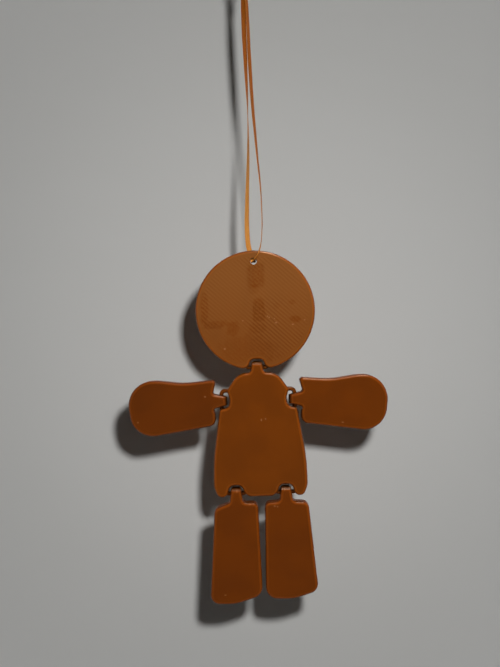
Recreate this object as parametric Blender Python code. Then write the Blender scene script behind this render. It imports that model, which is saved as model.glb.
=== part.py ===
"""Flat jointed toy figure, printed with its hinges in place, hanging on a narrow satin ribbon.

Millimetres in the constants, metres in the scene. +Z up, the figure faces -Y, its own left hand
is at +X. The origin is where the two strands of the ribbon meet under the knot.
"""
import math

import bmesh
import bpy
from mathutils import Vector

for old in list(bpy.data.objects):
    bpy.data.objects.remove(old, do_unlink=True)

MM = 0.001

# Plates: every link is one flat plate with rounded front and back edges
THICK = 6.2
EDGE_ROUND = 1.2
EDGE_STEPS = 3
ARC_STEP = 15.0
ARC_SHARE = 0.95

# Ring hinge: a slim bar of one link inside the closed eye of the next link's tongue
BAR_R = 0.9
BAR_BEND = 1.8
BAR_TURN = 72.0
BAR_STEPS = 5
BAR_ROOT = 1.6
BAR_SIDES = 12
BAR_COVER = 0.35
EYE_GAP = 0.5
EYE_WALL = 1.5
EYE_SIDES = 20
TIP_GAP = 0.75
TIP_STEPS = 16
TIP_WIDER = 0.12
TIP_SPARE = 0.5
CUT_SPARE = 2.5
TONGUE_TIP = 2.05
TONGUE_ROOT = 2.95
ROOT_ROUND = 1.6
ROOF_GAP = 0.6
MOUTH_GAP = 0.95
POCKET_ROUND = 2.4
LIP_ROUND = 3.2

# Head disc with the ribbon's hole near its top rim and the neck bar at its lower rim
HEAD_R = 25.5
RIM_STEPS = 84
RIM_START = 1.2
HOLE_R = 1.45
HOLE_SIDES = 24
HOLE_IN = 4.65
NECK_IN = 1.05

# Torso, measured down and out from the neck bar
DOME_DROP = 2.1
DOME_HALF = 8.2
DOME_ROUND = 8.2
SHOULDER_OUT = 15.6
SHOULDER_DOWN = 12.9
SHOULDER_GAP = 1.0
SHOULDER_LIP = 1.2
SHOULDER_SIDE_GAP = 1.3
SHOULDER_SLOPE = 0.5
BITE_ROUND = 3.0
BITE_LOW_OUT = 0.4
BITE_LOW_ROUND = 2.4
RING_BEND = 1.7
RING_STEPS = 6
RING_ROOT = 2.6
RING_COVER = 1.0
HIP_OUT = 10.65
HIP_DOWN = 53.5
HIP_LOBE = 5.45
HEM_UP = 4.3
HEM_UP_ROUND = 8.0
HEM_IN = 1.8
HEM_ROUND = 3.0
HEM_INNER_ROUND = 3.8
FLARE_UP = 15.7
FLARE_IN = 0.1
FLARE_ROUND = 90.0

# Arm, measured from its shoulder bar; the tongue has dropped a little in its pocket
ARM_EYE_WALL = 1.1
ARM_LONG = 39.7
ARM_DROP = 0.85
ARM_TIP = 1.65
ARM_ROOT = 3.1
ARM_NECK = 3.6
ARM_NECK_ROUND = 0.9
ARM_NECK_LEAN = 0.2
ARM_CORNER_IN = 1.6
ARM_INNER_TOP = 8.3
ARM_INNER_LOW = 11.1
ARM_LOW_ROUND = 3.3
LOBE_CLEAR = 1.75
LOBE_DOWN = 2.1
LOBE_ROUND = 1.5
ARM_DIP = 7.15
ARM_DIP_IN = 24.0
ARM_DIP_ROUND = 30.0
ARM_CREST = 8.65
ARM_CREST_IN = 12.8
ARM_CREST_ROUND = 18.0
HAND_TOP_OUT = 1.3
HAND_TOP_ROUND = 10.5
HAND_LOW = 16.4
HAND_LOW_IN = 1.8
HAND_LOW_ROUND = 10.0

# Leg, measured from its hip bar: each leg's falls and heights along its edges are its own
HIP_CLEAR = 2.45
LEG_LONG = 45.3
LEG_OUTER_TOP = 9.4
LEG_OUTER_ROUND = 2.8
LEG_OUTER_LOW = 12.5
LEG_TAPER = 0.9
LEG_CLEAR = 0.6
LEG_INNER_FALL = 0.2
LEG_INNER_ROUND = 2.2
TOE_ROUND = 4.0
SOLE_OUT = 1.5
SOLE_ROUND = 18.0
HEEL_ROUND = 5.0
LEFT_LEG = {"hip": 0.6, "toe": 3.1, "sole": -0.1, "heel": 0.4}
RIGHT_LEG = {"hip": 2.3, "toe": -1.3, "sole": -1.5, "heel": 2.0}

# Ribbon
RIBBON_WIDE = 2.1
RIBBON_THICK = 0.3
RIBBON_CLEAR = 0.6
STRAND = 114.0
STRAND_SPARE = 1.2
KNOT_WIDE = 4.2
KNOT_DEEP = 3.8
KNOT_TALL = 4.8
TAIL = 9.5
TAIL_LEANS = ((1, 3.2), (-1, -2.4))
ROUTE_PARTS = 3

# Sizes that follow from those above
HALF = THICK / 2
EDGE = min(EDGE_ROUND, ARM_TIP - 0.4, HALF - BAR_R - 0.2)
EDGE_CORNER = EDGE + 0.1
TONGUE_ROUND = TONGUE_TIP - 0.4
ARM_TIP_ROUND = min(EDGE + 0.3, ARM_TIP - 0.1)
EYE_R = BAR_R + EYE_GAP
REACH = EYE_R + EYE_WALL
ARM_REACH = EYE_R + ARM_EYE_WALL
ROOF = REACH + TIP_GAP
ROOF_HALF = TONGUE_TIP + ROOF_GAP
MOUTH_HALF = TONGUE_ROOT + MOUTH_GAP
CUT_HALF = MOUTH_HALF + ARM_ROOT
HOLE_UP = HEAD_R - HOLE_IN
NECK_DOWN = HEAD_R - NECK_IN
SHOULDER_WALL = SHOULDER_OUT - ARM_REACH - SHOULDER_GAP
SHOULDER_TOP = -SHOULDER_DOWN + 2 * RING_BEND
SHOULDER_FLOOR = -SHOULDER_DOWN - ARM_TIP - ARM_DROP - SHOULDER_SIDE_GAP
WAIST_HALF = SHOULDER_OUT + BAR_R
HEM = -HIP_DOWN - BAR_R - BAR_COVER
HEM_HALF = HIP_OUT + MOUTH_HALF + HIP_LOBE
LOBE_IN = BAR_R + LOBE_CLEAR
LEG_TOP = -BAR_R - BAR_COVER - HIP_CLEAR
LEG_INNER_LOW = HIP_OUT - LEG_CLEAR
KNOT_UP = KNOT_TALL / 2

HOLE = Vector((0, 0, -STRAND))
HEAD = HOLE - Vector((0, 0, HOLE_UP))
NECK = HEAD - Vector((0, 0, NECK_DOWN))


def flip(points):
    """The same corners on the other side of the middle, in the opposite order."""
    return [(-c[0], *c[1:]) for c in reversed(points)]


def rounded(corners):
    """Closed outline from corners (x, z, radius): each corner becomes an arc no longer than its walls."""
    count = len(corners)
    spots = [Vector(c[:2]) for c in corners]
    walls = [spots[(k + 1) % count] - spots[k] for k in range(count)]
    turns = [walls[k - 1].angle(walls[k]) for k in range(count)]
    reach = [c[2] * math.tan(t / 2) for c, t in zip(corners, turns)]
    spare = [ARC_SHARE * w.length / max(reach[k] + reach[(k + 1) % count], 1e-9) for k, w in enumerate(walls)]
    found = []
    for k, here in enumerate(spots):
        if corners[k][2] == 0 or turns[k] < 1e-4:
            found.append((here.x, here.y))
            continue
        back, ahead = -walls[k - 1].normalized(), walls[k].normalized()
        turn = turns[k]
        radius = corners[k][2] * min(1, spare[k - 1], spare[k])
        middle = here + (back + ahead).normalized() * radius / math.cos(turn / 2)
        start = here + back * radius * math.tan(turn / 2) - middle
        side = 1 if back.x * ahead.y - back.y * ahead.x < 0 else -1
        steps = max(2, math.ceil(math.degrees(turn) / ARC_STEP))
        for i in range(steps + 1):
            a = side * turn * i / steps
            c, s = math.cos(a), math.sin(a)
            found.append((middle.x + c * start.x - s * start.y, middle.y + s * start.x + c * start.y))
    return found


def inset(outline, depth):
    """The outline moved inwards by depth, with the same number of points."""
    area = sum(a[0] * b[1] - b[0] * a[1] for a, b in zip(outline, outline[1:] + outline[:1]))
    side = 1 if area > 0 else -1
    moved = []
    for k, (x, z) in enumerate(outline):
        before = Vector((x, z)) - Vector(outline[k - 1])
        after = Vector(outline[(k + 1) % len(outline)]) - Vector((x, z))
        n1 = Vector((-before.y, before.x)).normalized() * side
        n2 = Vector((-after.y, after.x)).normalized() * side
        step = (n1 + n2) * depth / (1 + n1.dot(n2))
        moved.append((x + step.x, z + step.y))
    return moved


def finish(name, bm, at, helper=False):
    """An object with its origin at the point given, from a mesh made around that origin."""
    bmesh.ops.recalc_face_normals(bm, faces=bm.faces)
    bmesh.ops.scale(bm, vec=(MM, MM, MM), verts=bm.verts)
    mesh = bpy.data.meshes.new(name)
    bm.to_mesh(mesh)
    bm.free()
    obj = bpy.data.objects.new(name, mesh)
    obj.location = Vector(at) * MM
    bpy.context.scene.collection.objects.link(obj)
    if helper:
        obj.hide_render = True
        obj.display_type = "WIRE"
    return obj


def skin(bm, rings):
    """Side faces through rings of points, with a cap on each end."""
    loops = [[bm.verts.new(p) for p in ring] for ring in rings]
    for low, high in zip(loops, loops[1:]):
        for k in range(len(low)):
            j = (k + 1) % len(low)
            bm.faces.new((low[k], low[j], high[j], high[k]))
    bm.faces.new(loops[0])
    bm.faces.new(reversed(loops[-1]))


def plate(name, corners, at):
    """A link: the outline as a plate of even thickness, its front and back edges rounded."""
    outline = rounded(corners)
    levels = []
    for k in range(EDGE_STEPS + 1):
        a = math.pi / 2 * k / EDGE_STEPS
        levels.append((EDGE * (1 - math.sin(a)), HALF - EDGE * (1 - math.cos(a))))
    levels = [(d, -y) for d, y in levels] + [(d, y) for d, y in reversed(levels)]
    bm = bmesh.new()
    skin(bm, [[(x, y, z) for x, z in inset(outline, d)] for d, y in levels])
    return finish(name, bm, at)


def prism(name, profile, half_length, place, at):
    """A helper solid: a profile of (w, v) points drawn along u; place turns (u, v, w) into x, y, z."""
    bm = bmesh.new()
    skin(bm, [[place(u, v, w) for w, v in profile] for u in (-half_length, half_length)])
    return finish(name, bm, at, helper=True)


def tube(name, path, at):
    """A helper solid: a round bar along a path in the plane of the plate."""
    bm = bmesh.new()
    rings = []
    for k, (x, z) in enumerate(path):
        a = path[max(k - 1, 0)]
        b = path[min(k + 1, len(path) - 1)]
        along = Vector((b[0] - a[0], 0, b[1] - a[1])).normalized()
        across = Vector((along.z, 0, -along.x))
        ring = []
        for i in range(BAR_SIDES):
            t = 2 * math.pi * (i + 0.5) / BAR_SIDES
            p = Vector((x, 0, z)) + across * BAR_R * math.cos(t) + Vector((0, BAR_R * math.sin(t), 0))
            ring.append(p)
        rings.append(ring)
    skin(bm, rings)
    return finish(name, bm, at, helper=True)


def combine(obj, helper, operation):
    """Join or cut with a helper that stays in the file, hidden."""
    step = obj.modifiers.new(helper.name, "BOOLEAN")
    step.solver = "EXACT"
    step.operation = operation
    step.object = helper


def eye(obj, name, reach, place, at):
    """Round the tip of a tongue from front to back, and open its eye round the bar."""
    wide, far = HALF + TIP_WIDER, HALF + CUT_SPARE
    arc = [math.pi * k / TIP_STEPS for k in range(TIP_STEPS + 1)]
    curve = [(wide * math.cos(a), reach * math.sin(a)) for a in arc]
    shape = [(-far, 0), (-far, far), (far, far), (far, 0)] + curve
    combine(obj, prism(name + "_tip_cut", shape, CUT_HALF, place, at), "DIFFERENCE")
    ring = [2 * math.pi * (k + 0.5) / EYE_SIDES for k in range(EYE_SIDES)]
    hole = [(EYE_R * math.cos(a), EYE_R * math.sin(a)) for a in ring]
    combine(obj, prism(name + "_eye_cut", hole, CUT_HALF, place, at), "DIFFERENCE")


def bar_path():
    """A straight bar whose two ends bend up into the plate, from left to right."""
    turn = math.radians(BAR_TURN)
    half = []
    for k in range(BAR_STEPS + 1):
        a = turn * k / BAR_STEPS
        half.append((TONGUE_ROOT + BAR_BEND * math.sin(a), BAR_BEND * (1 - math.cos(a))))
    x, z = half[-1]
    half.append((x + BAR_ROOT * math.cos(turn), z + BAR_ROOT * math.sin(turn)))
    return [(-x, z) for x, z in reversed(half)] + half


def tongue(root):
    """Corners of an upright tongue's right side, from its tip down to its root."""
    return [(TONGUE_TIP, REACH + TIP_SPARE, TONGUE_ROUND), (TONGUE_ROOT, root, ROOT_ROUND)]


def upright(u, v, w):
    return (u, w, v)


def material(obj, name, colour, rough):
    made = bpy.data.materials.new(name)
    made.use_nodes = True
    shader = made.node_tree.nodes["Principled BSDF"]
    shader.inputs["Base Color"].default_value = (*colour, 1)
    shader.inputs["Roughness"].default_value = rough
    shader.inputs["Metallic"].default_value = 0.0
    obj.data.materials.append(made)


# Head: a disc with a pocket in its lower rim, the neck bar across it, and the ribbon's hole
def head():
    lip = math.asin((MOUTH_HALF + LIP_ROUND + RIM_START) / HEAD_R)
    turns = [lip + (2 * math.pi - 2 * lip) * k / RIM_STEPS for k in range(RIM_STEPS + 1)]
    rim = [(HEAD_R * math.sin(a), -HEAD_R * math.cos(a), 0) for a in turns]
    mouth = -math.sqrt(HEAD_R**2 - MOUTH_HALF**2)
    right = [(ROOF_HALF, ROOF - NECK_DOWN, POCKET_ROUND), (MOUTH_HALF, mouth, LIP_ROUND)]
    obj = plate("head", right + rim + flip(right), HEAD)
    combine(obj, tube("neck_bar", bar_path(), NECK), "UNION")
    ring = [2 * math.pi * k / HOLE_SIDES for k in range(HOLE_SIDES)]
    round_hole = [(HOLE_R * math.cos(a), HOLE_R * math.sin(a)) for a in ring]
    cut = prism("ribbon_hole_cut", round_hole, HALF + CUT_SPARE, lambda u, v, w: (w, u, v), HOLE)
    combine(obj, cut, "DIFFERENCE")
    return obj


def shoulder_ring():
    """A bar that stands on the bite's floor and arches over into the torso's wall."""
    floor = SHOULDER_FLOOR + SHOULDER_DOWN - SHOULDER_SLOPE
    path = [(0, floor - RING_ROOT), (0, floor), (0, 0)]
    for k in range(RING_STEPS + 1):
        a = math.pi / 2 * k / RING_STEPS
        path.append((RING_BEND * (math.cos(a) - 1), RING_BEND * (1 + math.sin(a))))
    path.append((SHOULDER_WALL - SHOULDER_OUT - RING_COVER, 2 * RING_BEND))
    return path


# Torso: neck tongue on a domed top, a bite and ring at each shoulder, two pockets with bars below
def torso():
    right = tongue(-DOME_DROP) + [
        (DOME_HALF, -DOME_DROP, DOME_ROUND),
        (SHOULDER_WALL + SHOULDER_LIP, SHOULDER_TOP, EDGE_CORNER),
        (SHOULDER_WALL, -SHOULDER_DOWN, BITE_ROUND),
        (SHOULDER_WALL + BITE_LOW_OUT, SHOULDER_FLOOR, BITE_LOW_ROUND),
        (WAIST_HALF, SHOULDER_FLOOR - SHOULDER_SLOPE, EDGE_CORNER),
        (HEM_HALF - FLARE_IN, HEM + FLARE_UP, FLARE_ROUND),
        (HEM_HALF, HEM + HEM_UP, HEM_UP_ROUND),
        (HEM_HALF - HEM_IN, HEM, HEM_ROUND),
        (HIP_OUT + MOUTH_HALF, HEM, LIP_ROUND),
        (HIP_OUT + ROOF_HALF, ROOF - HIP_DOWN, POCKET_ROUND),
        (HIP_OUT - ROOF_HALF, ROOF - HIP_DOWN, POCKET_ROUND),
        (HIP_OUT - MOUTH_HALF, HEM, HEM_INNER_ROUND),
    ]
    obj = plate("torso", right + flip(right), NECK)
    eye(obj, "neck", REACH, upright, NECK)
    for side, name in ((1, "left"), (-1, "right")):
        place = NECK + Vector((side * SHOULDER_OUT, 0, -SHOULDER_DOWN))
        path = [(side * x, z) for x, z in shoulder_ring()]
        combine(obj, tube(name + "_shoulder_ring", path, place), "UNION")
        place = NECK + Vector((side * HIP_OUT, 0, -HIP_DOWN))
        combine(obj, tube(name + "_hip_bar", bar_path(), place), "UNION")
    return obj


# Arms: a paddle with a dipped upper edge, its tongue pointing at the torso
def arm(name, side):
    drop = -ARM_DROP
    tip = -ARM_REACH - TIP_SPARE
    low = drop - ARM_ROOT
    corners = [
        (tip, drop + ARM_TIP, ARM_TIP_ROUND),
        (tip, drop - ARM_TIP, ARM_TIP_ROUND),
        (ARM_NECK - ARM_NECK_LEAN, low - ARM_NECK_LEAN, ARM_NECK_ROUND),
        (LOBE_IN, low - LOBE_DOWN, LOBE_ROUND),
        (LOBE_IN, -ARM_INNER_LOW, ARM_LOW_ROUND),
        (ARM_LONG - HAND_LOW_IN, -HAND_LOW, HAND_LOW_ROUND),
        (ARM_LONG + HAND_TOP_OUT, ARM_CREST, HAND_TOP_ROUND),
        (ARM_LONG - ARM_CREST_IN, ARM_CREST, ARM_CREST_ROUND),
        (ARM_LONG - ARM_DIP_IN, ARM_DIP, ARM_DIP_ROUND),
        (ARM_NECK - ARM_CORNER_IN, ARM_INNER_TOP, EDGE_CORNER),
        (ARM_NECK, drop + ARM_ROOT, ARM_NECK_ROUND),
    ]
    at = NECK + Vector((side * SHOULDER_OUT, 0, -SHOULDER_DOWN))
    obj = plate(name, corners if side > 0 else flip(corners), at)
    eye(obj, name, ARM_REACH, lambda u, v, w: (-side * v, w, u + drop), at)
    return obj


# Legs: a tall panel that widens downwards, more on its outer side; the two are not alike.
# hip is the fall of the outer top corner; toe, sole and heel are heights along the lower edge.
def leg(name, side, hip, toe, sole, heel):
    top = tongue(LEG_TOP)
    corners = top + [
        (LEG_OUTER_TOP, LEG_TOP - hip, LEG_OUTER_ROUND),
        (LEG_OUTER_LOW, toe - LEG_LONG, TOE_ROUND),
        (SOLE_OUT, sole - LEG_LONG, SOLE_ROUND),
        (-LEG_INNER_LOW, heel - LEG_LONG, HEEL_ROUND),
        (LEG_TAPER - LEG_INNER_LOW, LEG_TOP - LEG_INNER_FALL, LEG_INNER_ROUND),
    ]
    corners += flip(top)
    at = NECK + Vector((side * HIP_OUT, 0, -HIP_DOWN))
    obj = plate(name, corners if side > 0 else flip(corners), at)
    eye(obj, name, REACH, upright, at)
    return obj


# Ribbon: one flat strip from the knot down behind the head, forward through the hole and up in front.
# Each station is a point (x, y, z) from the middle of the hole, and the way its width faces.
def turned(degrees):
    a = math.radians(degrees)
    return (math.cos(a), math.sin(a), 0.0)


BEHIND = HALF + RIBBON_CLEAR + RIBBON_THICK
BEFORE = -HALF - RIBBON_CLEAR - RIBBON_WIDE / 2
ROUTE = [
    ((-0.55, 0.75, STRAND + STRAND_SPARE), turned(0)),
    ((-0.75, 0.9, 0.947 * STRAND), turned(5)),
    ((-0.6, 1.3, 0.75 * STRAND), turned(45)),
    ((-0.35, 2.0, 0.58 * STRAND), turned(85)),
    ((-0.7, 2.8, 0.414 * STRAND), turned(114)),
    ((-1.9, 3.5, 0.227 * STRAND), turned(140)),
    ((-2.3, BEHIND, 0.13 * STRAND), turned(157)),
    ((-2.0, BEHIND, 0.07 * STRAND), turned(169)),
    ((-1.3, BEHIND, 4.2), turned(176)),
    ((-0.45, BEHIND + 0.2, 1.7), turned(180)),
    ((-0.1, BEHIND - 0.25, 0.4), turned(180)),
    ((0.0, HALF - 0.3, 0.0), (-1.0, 0.0, -0.08)),
    ((0.0, 0.0, 0.0), (-0.93, 0.0, -0.36)),
    ((0.0, 0.9 - HALF, 0.0), (-0.86, 0.0, -0.5)),
    ((0.04, -0.25 - HALF, 0.02), (-0.8, 0.0, -0.6)),
    ((0.35, BEFORE + 0.45, 0.4), (-0.7, -0.5, -0.4)),
    ((1.15, BEFORE - 0.05, 1.5), (-0.35, -0.9, 0.0)),
    ((2.1, BEFORE - 0.1, 3.2), turned(-98)),
    ((2.9, BEFORE + 0.05, 5.4), turned(-96)),
    ((3.6, BEFORE + 0.35, 8.8), turned(-95)),
    ((4.1, -4.4, 0.13 * STRAND), turned(-94)),
    ((4.15, -4.0, 0.227 * STRAND), turned(-96)),
    ((2.9, -3.1, 0.414 * STRAND), turned(-111)),
    ((1.8, -2.3, 0.58 * STRAND), turned(-124)),
    ((1.15, -1.6, 0.75 * STRAND), turned(-134)),
    ((0.8, -1.0, 0.947 * STRAND), turned(-122)),
    ((0.6, -0.75, STRAND + STRAND_SPARE), turned(-120)),
]


def blend(a, b, c, d, t):
    """A smooth curve from b to c, through four points in a row."""
    a, b, c, d = Vector(a), Vector(b), Vector(c), Vector(d)
    ways = []
    for before, here, after in ((a, b, c), (b, c, d)):
        near, far = (here - before).length or 1, (after - here).length or 1
        ways.append(((here - before) / near * far + (after - here) / far * near) / (near + far))
    size = (c - b).length
    start, end = ways[0] * size, ways[1] * size
    s = t * t
    q = s * t
    return b * (2 * q - 3 * s + 1) + start * (q - 2 * s + t) + c * (3 * s - 2 * q) + end * (q - s)


def route():
    points, faces = [], []
    last = len(ROUTE) - 1
    for k in range(last):
        span = [ROUTE[min(max(k + i, 0), last)] for i in (-1, 0, 1, 2)]
        for i in range(ROUTE_PARTS):
            t = i / ROUTE_PARTS
            points.append(blend(*(s[0] for s in span), t))
            faces.append((Vector(span[1][1]).lerp(Vector(span[2][1]), t)).normalized())
    points.append(Vector(ROUTE[-1][0]))
    faces.append(Vector(ROUTE[-1][1]).normalized())
    return points, faces


def strip(points, faces, wide, thick):
    """Rings of four corners along a flat strip."""
    rings = []
    for k, point in enumerate(points):
        along = (points[min(k + 1, len(points) - 1)] - points[max(k - 1, 0)]).normalized()
        across = (faces[k] - along * faces[k].dot(along)).normalized()
        out = along.cross(across)
        a, b = across * wide / 2, out * thick / 2
        rings.append([point - a - b, point + a - b, point + a + b, point - a + b])
    return rings


def ribbon():
    points, faces = route()
    bm = bmesh.new()
    skin(bm, strip([p + HOLE for p in points], faces, RIBBON_WIDE, RIBBON_THICK))
    obj = finish("ribbon", bm, (0, 0, 0))
    bm = bmesh.new()
    bmesh.ops.create_uvsphere(bm, u_segments=16, v_segments=10, radius=1.0)
    bmesh.ops.scale(bm, vec=(KNOT_WIDE / 2, KNOT_DEEP / 2, KNOT_TALL / 2), verts=bm.verts)
    combine(obj, finish("knot_lump", bm, (0, 0, KNOT_UP), helper=True), "UNION")
    for side, lean in TAIL_LEANS:
        tail = []
        for t in (0, 0.35, 0.7, 1):
            tail.append(Vector((side * 0.5 + lean * t * t, side * 0.7 * t, KNOT_UP + TAIL * t)))
        bm = bmesh.new()
        skin(bm, strip(tail, [Vector((0.6, -side * 0.8, 0))] * 4, RIBBON_WIDE, RIBBON_THICK))
        combine(obj, finish("tail_%d" % (side + 1), bm, (0, 0, 0), helper=True), "UNION")
    return obj


BROWN = (0.15, 0.034, 0.004)
GOLD = (0.45, 0.19, 0.04)

PIECES = [head(), torso(), arm("left_arm", 1), arm("right_arm", -1)]
PIECES.append(leg("left_leg", 1, **LEFT_LEG))
PIECES.append(leg("right_leg", -1, **RIGHT_LEG))
for piece in PIECES:
    material(piece, piece.name + "_plastic", BROWN, 0.42)
material(ribbon(), "ribbon_satin", GOLD, 0.35)
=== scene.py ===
import math

import bmesh
import bpy
import numpy as np
from mathutils import Matrix, Vector
from mathutils.geometry import delaunay_2d_cdt


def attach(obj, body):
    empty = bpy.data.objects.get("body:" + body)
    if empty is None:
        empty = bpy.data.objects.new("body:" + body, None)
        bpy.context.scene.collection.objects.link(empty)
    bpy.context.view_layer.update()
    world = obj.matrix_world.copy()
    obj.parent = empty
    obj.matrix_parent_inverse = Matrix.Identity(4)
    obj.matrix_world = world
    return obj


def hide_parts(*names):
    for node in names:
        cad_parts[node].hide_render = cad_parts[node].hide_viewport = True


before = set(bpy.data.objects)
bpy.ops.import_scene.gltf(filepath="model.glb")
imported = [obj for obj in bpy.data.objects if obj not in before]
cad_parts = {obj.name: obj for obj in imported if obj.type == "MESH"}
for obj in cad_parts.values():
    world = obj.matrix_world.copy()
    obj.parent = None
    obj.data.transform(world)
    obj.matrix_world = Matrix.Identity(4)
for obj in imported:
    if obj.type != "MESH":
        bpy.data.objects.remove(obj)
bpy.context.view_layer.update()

MM = 0.001

# Sizes of the part, in millimetres, as its source gives them
# Plates: every link is one flat plate with rounded front and back edges
THICK = 6.2
EDGE_ROUND = 1.2
EDGE_FLAT = 0.4
EDGE_OVER_BAR = 0.2
CORNER_MORE = 0.1
ARC_SHARE = 0.95

# Ring hinge: a slim bar of one link inside the closed eye of the next link's tongue
BAR_R = 0.9
BAR_BEND = 1.8
BAR_TURN = 72.0
BAR_ROOT = 1.6
BAR_COVER = 0.35
EYE_GAP = 0.5
EYE_WALL = 1.5
TIP_GAP = 0.75
TIP_WIDER = 0.12
TIP_SPARE = 0.5
CUT_SPARE = 2.5
TONGUE_TIP = 2.05
TONGUE_ROOT = 2.95
ROOT_ROUND = 1.6
ROOF_GAP = 0.6
MOUTH_GAP = 0.95
POCKET_ROUND = 2.4
LIP_ROUND = 3.2

# Head disc with the ribbon's hole near its top rim and the neck bar at its lower rim
HEAD_R = 25.5
RIM_START = 1.2
HOLE_R = 1.45
HOLE_IN = 4.65
NECK_IN = 1.05

# Torso, measured down and out from the neck bar
DOME_DROP = 2.1
DOME_HALF = 8.2
DOME_ROUND = 8.2
SHOULDER_OUT = 15.6
SHOULDER_DOWN = 12.9
SHOULDER_GAP = 1.0
SHOULDER_LIP = 1.2
SHOULDER_SIDE_GAP = 1.3
SHOULDER_SLOPE = 0.5
BITE_ROUND = 3.0
BITE_LOW_OUT = 0.4
BITE_LOW_ROUND = 2.4
RING_BEND = 1.7
RING_ROOT = 2.6
RING_COVER = 1.0
HIP_OUT = 10.65
HIP_DOWN = 53.5
HIP_LOBE = 5.45
HEM_UP = 4.3
HEM_UP_ROUND = 8.0
HEM_IN = 1.8
HEM_ROUND = 3.0
HEM_INNER_ROUND = 3.8
FLARE_UP = 15.7
FLARE_IN = 0.1
FLARE_ROUND = 90.0

# Arm, measured from its shoulder bar; the tongue has dropped a little in its pocket
ARM_EYE_WALL = 1.1
ARM_LONG = 39.7
ARM_DROP = 0.85
ARM_TIP = 1.65
ARM_TIP_MORE = 0.3
ARM_ROOT = 3.1
ARM_NECK = 3.6
ARM_NECK_ROUND = 0.9
ARM_NECK_LEAN = 0.2
ARM_CORNER_IN = 1.6
ARM_INNER_TOP = 8.3
ARM_INNER_LOW = 11.1
ARM_LOW_ROUND = 3.3
LOBE_CLEAR = 1.75
LOBE_DOWN = 2.1
LOBE_ROUND = 1.5
ARM_DIP = 7.15
ARM_DIP_IN = 24.0
ARM_DIP_ROUND = 30.0
ARM_CREST = 8.65
ARM_CREST_IN = 12.8
ARM_CREST_ROUND = 18.0
HAND_TOP_OUT = 1.3
HAND_TOP_ROUND = 10.5
HAND_LOW = 16.4
HAND_LOW_IN = 1.8
HAND_LOW_ROUND = 10.0

# Leg, measured from its hip bar: each leg's falls and heights along its edges are its own
HIP_CLEAR = 2.45
LEG_LONG = 45.3
LEG_OUTER_TOP = 9.4
LEG_OUTER_ROUND = 2.8
LEG_OUTER_LOW = 12.5
LEG_TAPER = 0.9
LEG_CLEAR = 0.6
LEG_INNER_FALL = 0.2
LEG_INNER_ROUND = 2.2
TOE_ROUND = 4.0
SOLE_OUT = 1.5
SOLE_ROUND = 18.0
HEEL_ROUND = 5.0
LEFT_LEG = {"hip": 0.6, "toe": 3.1, "sole": -0.1, "heel": 0.4}
RIGHT_LEG = {"hip": 2.3, "toe": -1.3, "sole": -1.5, "heel": 2.0}

# Ribbon
RIBBON_WIDE = 2.1
RIBBON_THICK = 0.3
RIBBON_CLEAR = 0.6
STRAND = 114.0
STRAND_SPARE = 1.2
KNOT_WIDE = 4.2
KNOT_TALL = 4.8
TAIL = 9.5
TAIL_LEANS = ((1, 3.2), (-1, -2.4))

# Sizes that follow from those above
HALF = THICK / 2
EDGE = min(EDGE_ROUND, ARM_TIP - EDGE_FLAT, HALF - BAR_R - EDGE_OVER_BAR)
EDGE_CORNER = EDGE + CORNER_MORE
ARM_TIP_ROUND = min(EDGE + ARM_TIP_MORE, ARM_TIP - CORNER_MORE)
EYE_R = BAR_R + EYE_GAP
REACH = EYE_R + EYE_WALL
ARM_REACH = EYE_R + ARM_EYE_WALL
ROOF = REACH + TIP_GAP
ROOF_HALF = TONGUE_TIP + ROOF_GAP
MOUTH_HALF = TONGUE_ROOT + MOUTH_GAP
CUT_HALF = MOUTH_HALF + ARM_ROOT
HOLE_UP = HEAD_R - HOLE_IN
NECK_DOWN = HEAD_R - NECK_IN
SHOULDER_WALL = SHOULDER_OUT - ARM_REACH - SHOULDER_GAP
SHOULDER_TOP = -SHOULDER_DOWN + 2 * RING_BEND
SHOULDER_FLOOR = -SHOULDER_DOWN - ARM_TIP - ARM_DROP - SHOULDER_SIDE_GAP
WAIST_HALF = SHOULDER_OUT + BAR_R
HEM = -HIP_DOWN - BAR_R - BAR_COVER
HEM_HALF = HIP_OUT + MOUTH_HALF + HIP_LOBE
LOBE_IN = BAR_R + LOBE_CLEAR
LEG_TOP = -BAR_R - BAR_COVER - HIP_CLEAR
LEG_INNER_LOW = HIP_OUT - LEG_CLEAR
KNOT_UP = KNOT_TALL / 2

HOLE = Vector((0, 0, -STRAND))
HEAD = HOLE - Vector((0, 0, HOLE_UP))
NECK = HEAD - Vector((0, 0, NECK_DOWN))

# The tips of the upright tongues show a little rounder than in the solids
SEEN_TIP_SPARE = 0.1
SEEN_TIP_FLAT = 0.2
SEEN_TIP_ROUND = TONGUE_TIP - SEEN_TIP_FLAT

# How finely the visible links are meshed
ARC_STEP = 5.0
EDGE_STEPS = 6
BAR_STEPS = 10
BAR_SIDES = 24
EYE_SIDES = 40
TIP_STEPS = 32
RIM_STEPS = 252
HOLE_SIDES = 48
RING_STEPS = 12
CAP_GRID = 1.1
CAP_ROW = 0.866 * CAP_GRID
CAP_KEEP_OFF = 0.45 * CAP_GRID
CAP_BORDER = 0.06
CAP_MERGE = 1e-5
LINK_SHARP = math.radians(32)
STRIP_SHARP = math.radians(60)


def flip(points):
    return [(-c[0], *c[1:]) for c in reversed(points)]


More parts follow.
